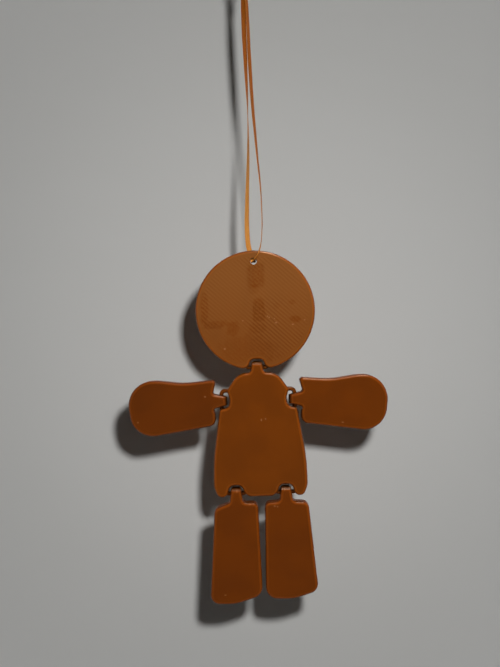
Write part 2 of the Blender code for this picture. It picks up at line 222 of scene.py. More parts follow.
def rounded(corners):
    """Closed outline from corners (x, z, radius): each corner becomes an arc no longer than its walls."""
    count = len(corners)
    spots = [Vector(c[:2]) for c in corners]
    walls = [spots[(k + 1) % count] - spots[k] for k in range(count)]
    turns = [walls[k - 1].angle(walls[k]) for k in range(count)]
    reach = [c[2] * math.tan(t / 2) for c, t in zip(corners, turns)]
    needed = [max(reach[k] + reach[(k + 1) % count], 1e-9) for k in range(count)]
    spare = [ARC_SHARE * w.length / n for w, n in zip(walls, needed)]
    found = []
    for k, here in enumerate(spots):
        if corners[k][2] == 0 or turns[k] < 1e-4:
            found.append((here.x, here.y))
            continue
        back, ahead = -walls[k - 1].normalized(), walls[k].normalized()
        turn = turns[k]
        radius = corners[k][2] * min(1, spare[k - 1], spare[k])
        middle = here + (back + ahead).normalized() * radius / math.cos(turn / 2)
        start = here + back * radius * math.tan(turn / 2) - middle
        side = 1 if back.x * ahead.y - back.y * ahead.x < 0 else -1
        steps = max(3, math.ceil(math.degrees(turn) / ARC_STEP))
        for i in range(steps + 1):
            a = side * turn * i / steps
            c, s = math.cos(a), math.sin(a)
            found.append((middle.x + c * start.x - s * start.y, middle.y + s * start.x + c * start.y))
    return found


def inset(outline, depth):
    """The outline moved inwards by depth, with the same number of points."""
    area = sum(a[0] * b[1] - b[0] * a[1] for a, b in zip(outline, outline[1:] + outline[:1]))
    side = 1 if area > 0 else -1
    moved = []
    for k, (x, z) in enumerate(outline):
        before = Vector((x, z)) - Vector(outline[k - 1])
        after = Vector(outline[(k + 1) % len(outline)]) - Vector((x, z))
        n1 = Vector((-before.y, before.x)).normalized() * side
        n2 = Vector((-after.y, after.x)).normalized() * side
        step = (n1 + n2) * depth / (1 + n1.dot(n2))
        moved.append((x + step.x, z + step.y))
    return moved


def distance(points, outline):
    """Distance of each point from a closed outline, and whether it lies inside."""
    p = np.asarray(points, float)
    a = np.asarray(outline, float)
    b = np.roll(a, -1, axis=0)
    near = np.full(len(p), 1e9)
    inside = np.zeros(len(p), bool)
    for (ax, az), (bx, bz) in zip(a, b):
        dx, dz = bx - ax, bz - az
        t = np.clip(((p[:, 0] - ax) * dx + (p[:, 1] - az) * dz) / max(dx * dx + dz * dz, 1e-12), 0, 1)
        near = np.minimum(near, np.hypot(p[:, 0] - ax - t * dx, p[:, 1] - az - t * dz))
        crosses = (az > p[:, 1]) != (bz > p[:, 1])
        if dz:
            inside ^= crosses & (p[:, 0] < ax + (p[:, 1] - az) * dx / dz)
    return near, inside


def as_object(name, bm, at=(0, 0, 0)):
    """An object whose mesh is in the part's own frame, in metres."""
    bmesh.ops.recalc_face_normals(bm, faces=bm.faces)
    bm.transform(Matrix.Scale(MM, 4) @ Matrix.Translation(Vector(at)))
    mesh = bpy.data.meshes.new(name)
    bm.to_mesh(mesh)
    bm.free()
    obj = bpy.data.objects.new(name, mesh)
    bpy.context.scene.collection.objects.link(obj)
    return obj


def skin(bm, rings, closed_ends=True):
    loops = [[bm.verts.new(p) for p in ring] for ring in rings]
    for low, high in zip(loops, loops[1:]):
        for k in range(len(low)):
            j = (k + 1) % len(low)
            bm.faces.new((low[k], low[j], high[j], high[k]))
    if closed_ends:
        bm.faces.new(loops[0])
        bm.faces.new(reversed(loops[-1]))
    return loops


def cap(bm, loop, border, y):
    """A flat face of small triangles inside a loop, with a narrow strip along its border."""
    count = len(border)
    strip_line = inset(border, CAP_BORDER)
    b = np.asarray(border)
    xs = np.arange(b[:, 0].min(), b[:, 0].max(), CAP_GRID)
    zs = np.arange(b[:, 1].min(), b[:, 1].max(), CAP_ROW)
    grid = [(x + CAP_GRID / 2 * (j % 2), z) for j, z in enumerate(zs) for x in xs]
    near, inside = distance(grid, strip_line)
    grid = [g for g, n, i in zip(grid, near, inside) if i and n > CAP_KEEP_OFF]
    points = [Vector(p) for p in list(border) + strip_line + grid]
    rim = [(count + k, count + (k + 1) % count) for k in range(count)]
    found = delaunay_2d_cdt(points, rim, [list(range(count))], 1, CAP_MERGE)
    verts = {}
    for face in found[2]:
        corners = []
        for index in face:
            if index not in verts:
                source = found[3][index]
                if source and source[0] < count:
                    verts[index] = loop[source[0]]
                else:
                    verts[index] = bm.verts.new((found[0][index].x, y, found[0][index].y))
            corners.append(verts[index])
        if len(set(corners)) == 3:
            bm.faces.new(corners)


def plate(name, corners, at):
    """A link: a flat plate with rounded front and back edges."""
    outline = rounded(corners)
    levels = []
    for k in range(EDGE_STEPS + 1):
        a = math.pi / 2 * k / EDGE_STEPS
        levels.append((EDGE * (1 - math.sin(a)), HALF - EDGE * (1 - math.cos(a))))
    levels = [(d, -y) for d, y in levels] + [(d, y) for d, y in reversed(levels)]
    bm = bmesh.new()
    lines = [inset(outline, d) for d, y in levels]
    loops = skin(bm, [[(x, y, z) for x, z in line] for line, (d, y) in zip(lines, levels)], False)
    cap(bm, loops[0], lines[0], -HALF)
    cap(bm, loops[-1], lines[-1], HALF)
    obj = as_object(name, bm, at)
    return obj, [(x + at[0], z + at[2]) for x, z in outline]


def prism(profile, half_length, place, at):
    bm = bmesh.new()
    skin(bm, [[place(u, v, w) for w, v in profile] for u in (-half_length, half_length)])
    return as_object("helper", bm, at)


def tube(path, at):
    bm = bmesh.new()
    rings = []
    for k, (x, z) in enumerate(path):
        a = path[max(k - 1, 0)]
        b = path[min(k + 1, len(path) - 1)]
        along = Vector((b[0] - a[0], 0, b[1] - a[1])).normalized()
        across = Vector((along.z, 0, -along.x))
        ring = []
        for i in range(BAR_SIDES):
            t = 2 * math.pi * (i + 0.5) / BAR_SIDES
            p = Vector((x, 0, z)) + across * BAR_R * math.cos(t) + Vector((0, BAR_R * math.sin(t), 0))
            ring.append(p)
        rings.append(ring)
    skin(bm, rings)
    return as_object("helper", bm, at)


def combine(obj, helper, operation):
    """Join or cut with a helper, which is then thrown away."""
    step = obj.modifiers.new("step", "BOOLEAN")
    step.solver = "EXACT"
    step.operation = operation
    step.object = helper
    made = bpy.data.meshes.new_from_object(obj.evaluated_get(bpy.context.evaluated_depsgraph_get()))
    obj.modifiers.clear()
    obj.data = made
    bpy.data.objects.remove(helper)


def eye(obj, reach, place, at):
    wide, far = HALF + TIP_WIDER, HALF + CUT_SPARE
    arc = [math.pi * k / TIP_STEPS for k in range(TIP_STEPS + 1)]
    curve = [(wide * math.cos(a), reach * math.sin(a)) for a in arc]
    shape = [(-far, 0), (-far, far), (far, far), (far, 0)] + curve
    combine(obj, prism(shape, CUT_HALF, place, at), "DIFFERENCE")
    ring = [2 * math.pi * (k + 0.5) / EYE_SIDES for k in range(EYE_SIDES)]
    hole = [(EYE_R * math.cos(a), EYE_R * math.sin(a)) for a in ring]
    combine(obj, prism(hole, CUT_HALF, place, at), "DIFFERENCE")


def bar_path():
    """A straight bar whose two ends bend up into the plate, from left to right."""
    turn = math.radians(BAR_TURN)
    half = []
    for k in range(BAR_STEPS + 1):
        a = turn * k / BAR_STEPS
        half.append((TONGUE_ROOT + BAR_BEND * math.sin(a), BAR_BEND * (1 - math.cos(a))))
    x, z = half[-1]
    half.append((x + BAR_ROOT * math.cos(turn), z + BAR_ROOT * math.sin(turn)))
    return [(-x, z) for x, z in reversed(half)] + half


def tongue(root):
    """Corners of an upright tongue's right side, from its tip down to its root."""
    return [(TONGUE_TIP, REACH + SEEN_TIP_SPARE, SEEN_TIP_ROUND), (TONGUE_ROOT, root, ROOT_ROUND)]


def upright(u, v, w):
    return (u, w, v)


# The links
def make_head():
    lip = math.asin((MOUTH_HALF + LIP_ROUND + RIM_START) / HEAD_R)
    turns = [lip + (2 * math.pi - 2 * lip) * k / RIM_STEPS for k in range(RIM_STEPS + 1)]
    rim = [(HEAD_R * math.sin(a), -HEAD_R * math.cos(a), 0) for a in turns]
    mouth = -math.sqrt(HEAD_R**2 - MOUTH_HALF**2)
    right = [(ROOF_HALF, ROOF - NECK_DOWN, POCKET_ROUND), (MOUTH_HALF, mouth, LIP_ROUND)]
    obj, outline = plate("head_link", right + rim + flip(right), HEAD)
    combine(obj, tube(bar_path(), NECK), "UNION")
    ring = [2 * math.pi * k / HOLE_SIDES for k in range(HOLE_SIDES)]
    round_hole = [(HOLE_R * math.cos(a), HOLE_R * math.sin(a)) for a in ring]
    cut = prism(round_hole, HALF + CUT_SPARE, lambda u, v, w: (w, u, v), HOLE)
    combine(obj, cut, "DIFFERENCE")
    return obj, outline


def shoulder_ring():
    """A bar that stands on the bite's floor and arches over into the torso's wall."""
    floor = SHOULDER_FLOOR + SHOULDER_DOWN - SHOULDER_SLOPE
    path = [(0, floor - RING_ROOT), (0, floor), (0, 0)]
    for k in range(RING_STEPS + 1):
        a = math.pi / 2 * k / RING_STEPS
        path.append((RING_BEND * (math.cos(a) - 1), RING_BEND * (1 + math.sin(a))))
    path.append((SHOULDER_WALL - SHOULDER_OUT - RING_COVER, 2 * RING_BEND))
    return path


def make_torso():
    right = tongue(-DOME_DROP) + [
        (DOME_HALF, -DOME_DROP, DOME_ROUND),
        (SHOULDER_WALL + SHOULDER_LIP, SHOULDER_TOP, EDGE_CORNER),
        (SHOULDER_WALL, -SHOULDER_DOWN, BITE_ROUND),
        (SHOULDER_WALL + BITE_LOW_OUT, SHOULDER_FLOOR, BITE_LOW_ROUND),
        (WAIST_HALF, SHOULDER_FLOOR - SHOULDER_SLOPE, EDGE_CORNER),
        (HEM_HALF - FLARE_IN, HEM + FLARE_UP, FLARE_ROUND),
        (HEM_HALF, HEM + HEM_UP, HEM_UP_ROUND),
        (HEM_HALF - HEM_IN, HEM, HEM_ROUND),
        (HIP_OUT + MOUTH_HALF, HEM, LIP_ROUND),
        (HIP_OUT + ROOF_HALF, ROOF - HIP_DOWN, POCKET_ROUND),
        (HIP_OUT - ROOF_HALF, ROOF - HIP_DOWN, POCKET_ROUND),
        (HIP_OUT - MOUTH_HALF, HEM, HEM_INNER_ROUND),
    ]
    obj, outline = plate("torso_link", right + flip(right), NECK)
    eye(obj, REACH, upright, NECK)
    for side in (1, -1):
        place = NECK + Vector((side * SHOULDER_OUT, 0, -SHOULDER_DOWN))
        path = [(side * x, z) for x, z in shoulder_ring()]
        combine(obj, tube(path, place), "UNION")
        place = NECK + Vector((side * HIP_OUT, 0, -HIP_DOWN))
        combine(obj, tube(bar_path(), place), "UNION")
    return obj, outline


def make_arm(name, side):
    drop = -ARM_DROP
    tip = -ARM_REACH - TIP_SPARE
    low = drop - ARM_ROOT
    corners = [
        (tip, drop + ARM_TIP, ARM_TIP_ROUND),
        (tip, drop - ARM_TIP, ARM_TIP_ROUND),
        (ARM_NECK - ARM_NECK_LEAN, low - ARM_NECK_LEAN, ARM_NECK_ROUND),
        (LOBE_IN, low - LOBE_DOWN, LOBE_ROUND),
        (LOBE_IN, -ARM_INNER_LOW, ARM_LOW_ROUND),
        (ARM_LONG - HAND_LOW_IN, -HAND_LOW, HAND_LOW_ROUND),
        (ARM_LONG + HAND_TOP_OUT, ARM_CREST, HAND_TOP_ROUND),
        (ARM_LONG - ARM_CREST_IN, ARM_CREST, ARM_CREST_ROUND),
        (ARM_LONG - ARM_DIP_IN, ARM_DIP, ARM_DIP_ROUND),
        (ARM_NECK - ARM_CORNER_IN, ARM_INNER_TOP, EDGE_CORNER),
        (ARM_NECK, drop + ARM_ROOT, ARM_NECK_ROUND),
    ]
    at = NECK + Vector((side * SHOULDER_OUT, 0, -SHOULDER_DOWN))
    obj, outline = plate(name, corners if side > 0 else flip(corners), at)
    eye(obj, ARM_REACH, lambda u, v, w: (-side * v, w, u + drop), at)
    return obj, outline


def make_leg(name, side, hip, toe, sole, heel):
    """hip is the fall of the outer top corner; toe, sole and heel are heights along the lower edge."""
    top = tongue(LEG_TOP)
    corners = top + [
        (LEG_OUTER_TOP, LEG_TOP - hip, LEG_OUTER_ROUND),
        (LEG_OUTER_LOW, toe - LEG_LONG, TOE_ROUND),
        (SOLE_OUT, sole - LEG_LONG, SOLE_ROUND),
        (-LEG_INNER_LOW, heel - LEG_LONG, HEEL_ROUND),
        (LEG_TAPER - LEG_INNER_LOW, LEG_TOP - LEG_INNER_FALL, LEG_INNER_ROUND),
    ]
    corners += flip(top)
    at = NECK + Vector((side * HIP_OUT, 0, -HIP_DOWN))
    obj, outline = plate(name, corners if side > 0 else flip(corners), at)
    eye(obj, REACH, upright, at)
    return obj, outline


# Plastic, with lengths in millimetres and colours in linear light
# The head's frosted colour is the frosted finish with a painted sheen in it
FROST_AND_SHEEN = (0.217, 0.078, 0.0175, 1)
# Colour of the light specks, and of the painted glints on some tongue tips
SPECK_AND_GLINT = (0.42, 0.19, 0.08, 1)
SMOOTH_PART = ((HEAD.x - 12, HEAD.z - 14), (12, 9))
# How strongly the painted highlight along the rounded rim shows
RIM_HIGHLIGHT_SHOWS = 0.34
SPECK_AND_GLINT_SHOWS = 0.42
SPECK_AND_GLINT_RAGGED = 0.6
MARK_WARP = 2.2
MARK_SPOTS = 3.0
# Painted shade in the gaps: how far its ambient occlusion looks, in millimetres, and its samples
GAP_SHADE_REACH = 2.8
GAP_SHADE_SAMPLES = 8
ROUGH = 0.285
ROUGH_BROAD = 0.03
ROUGH_FROST = 0.05
SPECULAR = 0.12
# How many times lighter than the link's tone each kind of place is
# The rim and gap tints paint a highlight on the rounded rim and shade in the gaps; the others are the
# plastic's own colour
TINTS = {"dark": 0.93, "light": 1.07, "pass": 1.8, "painted_rim_highlight": 2.3, "painted_gap_shade": 0.1}
# Print lines
RASTER_SLANT = math.radians(43)
RASTER_STEP = 0.44
BUNDLE_STEP = 3 * RASTER_STEP
OUTLINE_STEP = 0.45
OUTLINE_END = (2.4, 2.8)
PASS_STEP = 0.95
PASS_END = (2.6, 4.2)
PASS_SHOWS = 0.05
LAYER_STEP = 0.24
LINE_HIGH = 0.45
LAYER_HIGH = 0.6
GRAIN_HIGH = 0.35
PRINT_DEEP = 0.012
STRIPES_BEND = 0.25
# Where a value starts and ends to count, and for some how much it then counts at both ends
FLAT_FROM_TO = (0.9, 0.995)
FRONT_FROM_TO = (-0.3, -0.6)
UNEVEN_FROM_TO = (0.35, 0.65)
STRIPES_SHOW = (0.4, 0.6, 0.16, 0.32)
FROST_AND_SHEEN_FALL = (HEAD.z - 22, HEAD.z + 20, 0.42, 1.0)
SMOOTH_PART_KEEPS = (0.6, 1.2, 0.2, 1.0)
MARK_EDGE = (0.75, 1.1)
SPECK_AND_GLINT_EDGE = (0.5, 1.2)
# Where the painted rim highlight rises and where it fades out
RIM_HIGHLIGHT_FROM = (0.1, 0.6)
RIM_HIGHLIGHT_TO = (0.8, 1.5)
# Where the painted gap shade starts and ends
GAP_SHADE_FROM_TO = (0.35, 0.7)
# Noises: scale and detail
BROAD = (0.07, 3.0)
BEND = (0.55, 3.0)
FINE = (5.0, 2.0)
WARP = (0.3, 4.0)
GRAIN = (1.2, 2.0)
PATCHES = (0.05, 1.0)


class Tree:
    """The nodes of a material or of the world, added one at a time."""

    def __init__(self, owner, shader="Principled BSDF"):
        owner.use_nodes = True
        self.owner = owner
        self.tree = owner.node_tree
        self.shader = self.tree.nodes[shader]

    def add(self, kind, values=(), **settings):
        node = self.tree.nodes.new("ShaderNode" + kind)
        for key, value in settings.items():
            setattr(node, key, value)
        for key, value in dict(values).items():
            self.set(node.inputs[key], value)
        return node

    def set(self, socket, value):
        if isinstance(value, bpy.types.NodeSocket):
            self.tree.links.new(value, socket)
        else:
            socket.default_value = value

    def shade(self, **values):
        """Set the shader's sockets, named with _ for a space."""
        for key, value in values.items():
            self.set(self.shader.inputs[key.replace("_", " ")], value)

    def math(self, operation, a, b=0.0, clamp=False):
        return self.add("Math", {0: a, 1: b}, operation=operation, use_clamp=clamp).outputs[0]

    def smooth(self, value, low, high, to_low=0.0, to_high=1.0):
        values = {"Value": value, "From Min": low, "From Max": high, "To Min": to_low, "To Max": to_high}
        return self.add("MapRange", values, interpolation_type="SMOOTHSTEP").outputs[0]

    def mix(self, amount, a, b):
        return self.add("Mix", {0: amount, 6: a, 7: b}, data_type="RGBA").outputs[2]

    def noise(self, where, scale, detail):
        return self.add("TexNoise", {"Vector": where, "Scale": scale, "Detail": detail}).outputs[0]

    def wave(self, value, period):
        return self.math("SINE", self.math("MULTIPLY", value, 2 * math.pi / period))

    def point_value(self, name):
        return self.add("Attribute", attribute_name=name).outputs["Fac"]

    def bump(self, deep, height):
        return self.add("Bump", {"Strength": 1.0, "Distance": deep * MM, "Height": height}).outputs[0]

    def seen(self):
        """1 for the rays that show the set: camera, glossy and transmission rays."""
        rays = self.add("LightPath").outputs
        either = self.math("MAXIMUM", rays["Is Camera Ray"], rays["Is Glossy Ray"])
        return self.math("MAXIMUM", either, rays["Is Transmission Ray"])


class Plastic(Tree):
    """Brown print plastic: raster and outline lines on the flats, layer lines on the walls."""

    def __init__(self, name, tone):
        super().__init__(bpy.data.materials.new(name))
        self.tone = tone
        where = self.add("TexCoord").outputs
        scaled = {0: where["Object"], 1: (1 / MM, 1 / MM, 1 / MM)}
        self.place = self.add("VectorMath", scaled, operation="MULTIPLY").outputs[0]
        self.x, self.y, self.z = self.add("SeparateXYZ", {0: self.place}).outputs
        facing = self.add("SeparateXYZ", {0: where["Normal"]}).outputs[1]
        self.flat = self.smooth(self.math("ABSOLUTE", facing), *FLAT_FROM_TO)
        self.front = self.smooth(facing, *FRONT_FROM_TO)
        self.rim = self.point_value("rim")
        self.border = self.smooth(self.rim, *OUTLINE_END)
        self.fine = self.noise(self.place, *FINE)
        along_x = self.math("MULTIPLY", self.x, math.sin(RASTER_SLANT))
        along_z = self.math("MULTIPLY", self.z, math.cos(RASTER_SLANT))
        self.across = self.math("ADD", along_x, along_z)

    def tint(self, kind):
        return [min(TINTS[kind] * c, 1) for c in self.tone] + [1]

    def away(self, place, size, power=2.0):
        """How far out of a mark a point lies: 0 in its middle, 1 at its edge."""
        parts = []
        for value, middle, half in zip((self.x, self.z), place, size):
            share = self.math("DIVIDE", self.math("SUBTRACT", value, middle), half)
            parts.append(self.math("POWER", self.math("ABSOLUTE", share), power))
        return self.math("POWER", self.math("ADD", *parts), 1 / power)

    def plain(self):
        """The link's tone, a little uneven, with a few faint outline passes, and its haze."""
        broad = self.noise(self.place, *BROAD)
        colour = self.mix(self.smooth(broad, *UNEVEN_FROM_TO), self.tint("dark"), self.tint("light"))
        fading = self.smooth(self.rim, *PASS_END, PASS_SHOWS, 0.0)
        passes = self.math("MULTIPLY", self.wave(self.rim, PASS_STEP), fading)
        colour = self.mix(self.math("ADD", passes, PASS_SHOWS), colour, self.tint("pass"))
        return colour, self.smooth(broad, *UNEVEN_FROM_TO, 0.0, ROUGH_BROAD)

    def stripes(self):
        """Raster lines that show in the frosting, fainter on its smooth part."""
        bend = self.math("MULTIPLY", self.noise(self.place, *BEND), STRIPES_BEND)
        bent = self.math("ADD", self.across, bend)
        lines = self.math("MULTIPLY", self.wave(bent, BUNDLE_STEP), self.border)
        clear = self.smooth(self.noise(self.place, *PATCHES), *STRIPES_SHOW)
        kept = self.smooth(self.away(*SMOOTH_PART), *SMOOTH_PART_KEEPS)
        return self.math("MULTIPLY", lines, self.math("MULTIPLY", clear, kept))

    def frosting_and_sheen(self, frost_and_sheen, marks):
        """How frosted a flat is, with the painted sheen that the frosted colour holds: less lower down,
        and changed by the marks on the front.
        """
        warp = self.math("SUBTRACT", self.noise(self.place, *WARP), 0.5)
        grain = self.math("SUBTRACT", self.noise(self.place, *GRAIN), 0.5)
        spotty = self.math("ADD", self.math("MULTIPLY", grain, MARK_SPOTS), 1.0)
        spotty = self.math("MULTIPLY", spotty, self.front)
        level = self.math("MULTIPLY", self.smooth(self.z, *FROST_AND_SHEEN_FALL), frost_and_sheen)
        for place, size, change, power, ragged in marks:
            uneven = self.math("MULTIPLY", warp, MARK_WARP * ragged)
            uneven = self.math("ADD", uneven, self.math("MULTIPLY", grain, ragged))
            out = self.math("ADD", self.away(place, size, power), uneven)
            inside = self.smooth(out, *MARK_EDGE, change, 0.0)
            level = self.math("ADD", level, self.math("MULTIPLY", inside, spotty), clamp=True)
        level = self.math("ADD", level, self.stripes())
        return self.math("MULTIPLY", level, self.flat, clamp=True)

    # Light specks in the plastic, and painted glints on some tongue tips
    def specked_and_glinting(self, colour, specks_and_glints):
        ragged = self.math("MULTIPLY", self.fine, SPECK_AND_GLINT_RAGGED)
        for x, z, half_wide, half_high in specks_and_glints:
            out = self.math("ADD", self.away((x, z), (half_wide, half_high)), ragged)
            spot = self.smooth(out, *SPECK_AND_GLINT_EDGE, SPECK_AND_GLINT_SHOWS, 0.0)
            colour = self.mix(self.math("MULTIPLY", spot, self.front), colour, SPECK_AND_GLINT)
        return colour

    def painted_edge_light_and_gap_shade(self, colour):
        """A painted highlight, paler along the rounded rim, and painted shade, dark in the narrow gaps
        between links.
        """
        # Painted highlight: the rounded rim is made paler, as where light catches it
        painted_rim_highlight = self.smooth(self.rim, *RIM_HIGHLIGHT_TO, RIM_HIGHLIGHT_SHOWS, 0.0)
        painted_rim_highlight = self.math("MULTIPLY", self.smooth(self.rim, *RIM_HIGHLIGHT_FROM), painted_rim_highlight)
        colour = self.mix(painted_rim_highlight, colour, self.tint("painted_rim_highlight"))
        # Painted shade: dark where ambient occlusion finds other surfaces close by
        reach = {"Distance": GAP_SHADE_REACH * MM}
        near = self.add("AmbientOcclusion", reach, samples=GAP_SHADE_SAMPLES, inside=False)
        out_of_gap_shade = self.smooth(near.outputs["AO"], *GAP_SHADE_FROM_TO)
        return self.mix(out_of_gap_shade, self.tint("painted_gap_shade"), colour)

    def relief(self):
        """Heights of the print lines and of a fine grain."""
        waves = {2: self.wave(self.rim, OUTLINE_STEP), 3: self.wave(self.across, RASTER_STEP)}
        lines = self.add("Mix", {0: self.border, **waves}).outputs[0]
        lines = self.math("MULTIPLY", lines, self.math("MULTIPLY", self.flat, LINE_HIGH))
        walls = self.math("SUBTRACT", 1.0, self.flat)
        layers = self.math("MULTIPLY", self.wave(self.y, LAYER_STEP), walls)
        height = self.math("ADD", lines, self.math("MULTIPLY", layers, LAYER_HIGH))
        return self.math("ADD", height, self.math("MULTIPLY", self.fine, GRAIN_HIGH))


def plastic(name, tone, frost_and_sheen=0.0, marks=(), specks_and_glints=()):
    t = Plastic(name, tone)
    colour, haze = t.plain()
    if frost_and_sheen:
        level = t.frosting_and_sheen(frost_and_sheen, marks)
        # Frosted finish, its colour holding a painted sheen
        colour = t.mix(level, colour, FROST_AND_SHEEN)
        haze = t.math("ADD", haze, t.math("MULTIPLY", level, ROUGH_FROST))
    colour = t.painted_edge_light_and_gap_shade(t.specked_and_glinting(colour, specks_and_glints))
    t.shade(Base_Color=colour, Roughness=t.math("ADD", haze, ROUGH), Specular_IOR_Level=SPECULAR)
    t.shade(Normal=t.bump(PRINT_DEEP, t.relief()))
    return t.owner


# Satin, with a bright side whose colours hold a painted sheen and a dull side whose colours hold painted
# shade, each from one colour to another
SATIN_BRIGHT_AND_SHEEN = ((0.54, 0.205, 0.03, 1), (0.68, 0.30, 0.06, 1))
SATIN_DULL_AND_SHADE = ((0.20, 0.052, 0.004, 1), (0.27, 0.08, 0.008, 1))
SATIN_PATCH = (0.38, 0.12, 0.016, 1)
SATIN_EDGE = (0.28, 0.09, 0.012, 1)
SATIN_SHEEN = (1.0, 0.75, 0.4, 1)
EDGE_SHOWS = 0.35
DULL_ROUGH = 0.2
# Streaks and patches: how closely they follow across and along the ribbon, and their noise
STREAKS = (9.0, 0.35)
STREAK_NOISE = (1.0, 3.0)
SPREAD = (1.0, 0.12)
SPREAD_NOISE = (1.0, 2.0)
# Where a value starts and ends to count, and for some how much it then counts at both ends
DULL_AND_SHADED_FROM_TO = (-0.5, 0.0, 1.0, 0.0)
THREADS_FROM_TO = (0.3, 0.7)
PATCH_FROM_TO = (0.35, 0.7, 0.0, 0.3)
EDGE_FROM_TO = (0.78, 0.95)
STREAK_ROUGH = (0.2, 0.8, 0.3, 0.42)
DULL_SPECULAR = (0.0, 1.0, 0.2, 0.06)
# Threads: steps in half widths across the ribbon and in millimetres along it
WARP_STEP = 0.11
WEFT_STEP = 0.21
WEFT_HIGH = 0.4
THREAD_DEEP = 0.01


def ribbon_noise(t, across, along, shares, noise):
    scaled = [t.math("MULTIPLY", value, share) for value, share in zip((across, along), shares)]
    return t.noise(t.add("CombineXYZ", dict(enumerate(scaled))).outputs[0], *noise)


def satin():
    """Golden satin with one bright side, its colours holding a painted sheen, and one dull side, its
    colours holding painted shade: fine threads, a soft sheen and a closed edge.
    """
    t = Tree(bpy.data.materials.new("ribbon_satin"))
    along, across = t.point_value("along"), t.point_value("across")
    dull_and_shaded = t.smooth(t.point_value("side"), *DULL_AND_SHADED_FROM_TO)
    streak = ribbon_noise(t, across, along, STREAKS, STREAK_NOISE)
    patch = ribbon_noise(t, across, along, SPREAD, SPREAD_NOISE)
    threads = t.smooth(streak, *THREADS_FROM_TO)
    # Bright side: threads from one colour to another, with a painted sheen in them
    colour = t.mix(threads, *SATIN_BRIGHT_AND_SHEEN)
    colour = t.mix(t.smooth(patch, *PATCH_FROM_TO), colour, SATIN_PATCH)
    # Dull side: the matte back of the satin, its colour darkened as painted shade
    colour = t.mix(dull_and_shaded, colour, t.mix(threads, *SATIN_DULL_AND_SHADE))
    edge = t.smooth(t.math("ABSOLUTE", across), *EDGE_FROM_TO)
    colour = t.mix(t.math("MULTIPLY", edge, EDGE_SHOWS), colour, SATIN_EDGE)
    rough = t.math("ADD", t.smooth(streak, *STREAK_ROUGH), t.math("MULTIPLY", dull_and_shaded, DULL_ROUGH))
    t.shade(Base_Color=colour, Roughness=rough, Specular_IOR_Level=t.smooth(dull_and_shaded, *DULL_SPECULAR))
    t.shade(Anisotropic=0.6, Sheen_Weight=0.03, Sheen_Roughness=0.4, Sheen_Tint=SATIN_SHEEN)
    t.shade(Tangent=t.add("Tangent", direction_type="UV_MAP", uv_map="UVMap").outputs[0])
    weft = t.math("MULTIPLY", t.wave(along, WEFT_STEP), WEFT_HIGH)
    t.shade(Normal=t.bump(THREAD_DEEP, t.math("ADD", t.wave(across, WARP_STEP), weft)))
    return t.owner


def dress(made, node, material):
    """Smooth the mesh, note each point's distance from the outline, and tie it to its CAD body."""
    obj, outline = made
    mesh = obj.data
    mesh.shade_smooth()
    mesh.set_sharp_from_angle(angle=LINK_SHARP)
    points = np.empty(len(mesh.vertices) * 3)
    mesh.vertices.foreach_get("co", points)
    points = points.reshape(-1, 3)[:, (0, 2)] / MM
    near, inside = distance(points, outline)
    rim = mesh.attributes.new("rim", "FLOAT", "POINT")
    rim.data.foreach_set("value", np.where(inside, near, 0.0))
    mesh.materials.clear()
    mesh.materials.append(material)
    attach(obj, node)
    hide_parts(node)


# Ribbon: two strands from the hole up to the knot
def turned(degrees):
    a = math.radians(degrees)
    return (math.cos(a), math.sin(a), 0.0)


BEHIND = HALF + RIBBON_CLEAR + RIBBON_THICK
BEFORE = -HALF - RIBBON_CLEAR - RIBBON_WIDE / 2
# Points of the route, measured from the hole, and which way the ribbon's width lies there
ROUTE = [
    ((-0.55, 0.75, STRAND + STRAND_SPARE), turned(0)),
    ((-0.75, 0.9, 0.947 * STRAND), turned(5)),
    ((-0.6, 1.3, 0.75 * STRAND), turned(45)),
    ((-0.35, 2.0, 0.58 * STRAND), turned(85)),
    ((-0.7, 2.8, 0.414 * STRAND), turned(114)),
    ((-1.9, 3.5, 0.227 * STRAND), turned(140)),
    ((-2.3, BEHIND, 0.13 * STRAND), turned(157)),
    ((-2.0, BEHIND, 0.07 * STRAND), turned(169)),
    ((-1.3, BEHIND, 4.2), turned(176)),
    ((-0.45, BEHIND + 0.2, 1.7), turned(180)),
    ((-0.1, BEHIND - 0.25, 0.4), turned(180)),
    ((0.0, HALF - 0.3, 0.0), (-1.0, 0.0, -0.08)),
    ((0.0, 0.0, 0.0), (-0.93, 0.0, -0.36)),
    ((0.0, 0.9 - HALF, 0.0), (-0.86, 0.0, -0.5)),
    ((0.04, -0.25 - HALF, 0.02), (-0.8, 0.0, -0.6)),
    ((0.35, BEFORE + 0.45, 0.4), (-0.7, -0.5, -0.4)),
    ((1.15, BEFORE - 0.05, 1.5), turned(-97)),
    ((2.1, BEFORE - 0.1, 3.2), turned(-80)),
    ((2.9, BEFORE + 0.05, 5.4), turned(-81)),
    ((3.6, BEFORE + 0.35, 8.8), turned(-90)),
    ((4.1, -4.4, 0.13 * STRAND), turned(-94)),
    ((4.15, -4.0, 0.227 * STRAND), turned(-96)),
    ((2.9, -3.1, 0.414 * STRAND), turned(-111)),
    ((1.8, -2.3, 0.58 * STRAND), turned(-124)),
    ((1.15, -1.6, 0.75 * STRAND), turned(-134)),
    ((0.8, -1.0, 0.947 * STRAND), turned(-122)),
    ((0.6, -0.75, STRAND + STRAND_SPARE), turned(-120)),
]
ROUTE_MIDDLE = 12
ROUTE_PARTS = 9
# A rounded edge and the thin web of the strip, as shares of its half width and half thickness
EDGE_SECTION = [(-1.0, 0.0), (-0.985, 0.55), (-0.93, 0.95), (-0.85, 0.8), (-0.7, 0.66)]
WEB_SECTION = [(-0.4, 0.62), (0.0, 0.6), (0.4, 0.62)]
UV_LONG = 10


